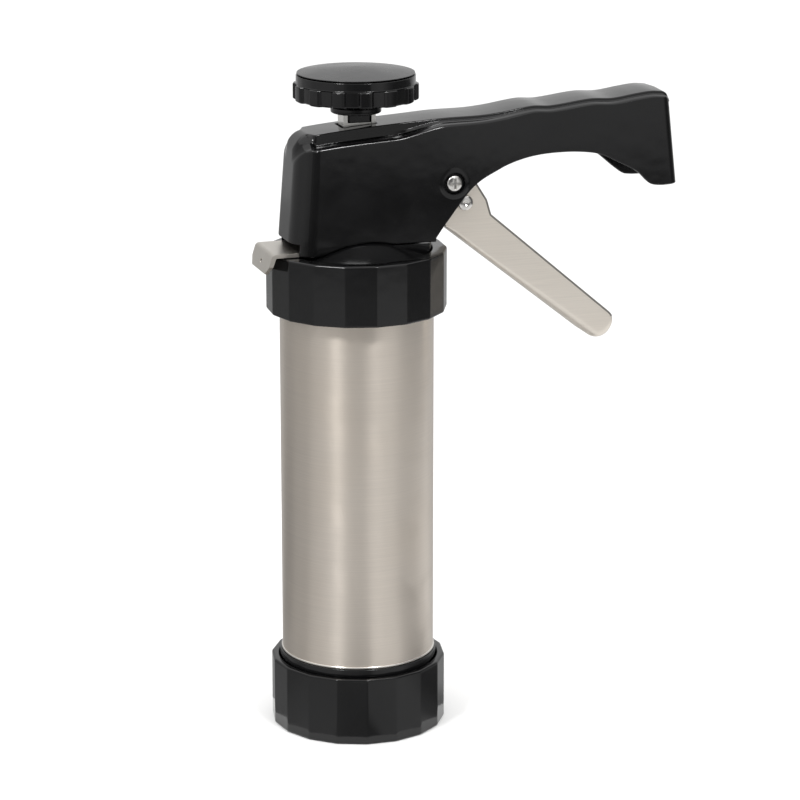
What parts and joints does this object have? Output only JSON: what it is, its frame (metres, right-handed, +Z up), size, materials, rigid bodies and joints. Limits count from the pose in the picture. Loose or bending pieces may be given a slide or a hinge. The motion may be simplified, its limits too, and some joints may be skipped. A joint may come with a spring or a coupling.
{
  "type": "jerky gun",
  "caption": "Pistol-grip jerky gun: steel barrel between two screw collars, squeeze trigger, release tab, and a knob-topped plunger rod.",
  "frame": {"origin": "on the resting plane under the bottom collar, at the middle of the gun's footprint box", "axes": "+Z up along the barrel, +X from the barrel towards the end of the handle, Y across the gun"},
  "size_m": [0.1394, 0.0586, 0.22],
  "materials": {
    "barrel_steel": "stainless steel tube with a fine vertical-banded satin polish",
    "sheet_steel": "satin stamped stainless sheet with cut edges",
    "bright_steel": "bright zinc-plated fasteners and springs",
    "gloss_black": "glossy black moulded plastic",
    "satin_black": "satin black moulded plastic",
    "seal_rubber": "dull black food-grade rubber"
  },
  "bodies": {
    "barrel": {"barrel_tube": "barrel_steel", "bottom_thread_ring": "gloss_black", "top_thread_ring": "gloss_black", "head_gasket": "seal_rubber"},
    "die_set": {"die_disc": "sheet_steel", "die_gasket": "seal_rubber"},
    "bottom_collar": {"bottom_collar": "gloss_black"},
    "head": {"head_base": "gloss_black", "head_housing": "gloss_black", "pivot_screw": "bright_steel", "pivot_nut": "bright_steel", "spring_plate": "sheet_steel", "drive_spring": "bright_steel", "release_spring": "bright_steel"},
    "top_collar": {"top_collar": "gloss_black"},
    "plunger": {"plunger_rod": "sheet_steel", "piston": "satin_black", "piston_seal": "seal_rubber", "lower_washer": "bright_steel", "upper_washer": "bright_steel", "piston_bolt": "bright_steel", "piston_nut": "bright_steel", "knob_stem": "gloss_black", "knob_pin": "bright_steel", "knob_body": "gloss_black", "knob_cap": "satin_black", "knob_screw": "bright_steel"},
    "trigger": {"trigger_lever": "sheet_steel", "lever_rivet": "bright_steel"},
    "drive": {"drive_plate": "sheet_steel"},
    "release": {"release_plate": "sheet_steel"}
  },
  "joints": [
    {"name": "die_set_lift", "type": "slide", "parent": "barrel", "child": "die_set", "axis": [0, 0, -1], "range_m": [0, 0.009]},
    {"name": "bottom_collar_turn", "type": "hinge", "parent": "die_set", "child": "bottom_collar", "pos_m": [-0.0371, 0, 0], "axis": [0, 0, -1], "range_deg": [0, 1080]},
    {"name": "head_lift", "type": "slide", "parent": "barrel", "child": "head", "axis": [0, 0, 1], "range_m": [0, 0.009]},
    {"name": "top_collar_turn", "type": "hinge", "parent": "head", "child": "top_collar", "pos_m": [-0.0371, 0, 0.161], "axis": [0, 0, 1], "range_deg": [0, 1080]},
    {"name": "plunger_slide", "type": "slide", "parent": "head", "child": "plunger", "axis": [0, 0, 1], "range_m": [0, 0.13]},
    {"name": "trigger_pivot", "type": "hinge", "parent": "head", "child": "trigger", "pos_m": [-0.008, 0, 0.1825], "axis": [0, -1, 0], "range_deg": [0, 32], "stiffness_Nm_per_rad": 0.25, "springref_deg": -20.05},
    {"name": "drive_slide", "type": "slide", "parent": "head", "child": "drive", "axis": [0, 0, -1], "range_m": [0, 0.0101], "deforming": ["drive_spring"]},
    {"name": "release_tilt", "type": "hinge", "parent": "head", "child": "release", "pos_m": [-0.0221, 0, 0.1613], "axis": [0, 1, 0], "range_deg": [0, 3.5], "stiffness_Nm_per_rad": 0.8, "springref_deg": -5.73, "deforming": ["release_spring"]}
  ],
  "couplings": [
    {"joint": "bottom_collar_turn", "follows": "die_set_lift", "rad_per_m": 2094.4},
    {"joint": "top_collar_turn", "follows": "head_lift", "rad_per_m": 2094.4},
    {"joint": "drive_slide", "follows": "trigger_pivot", "m_per_rad": 0.01776}
  ]
}
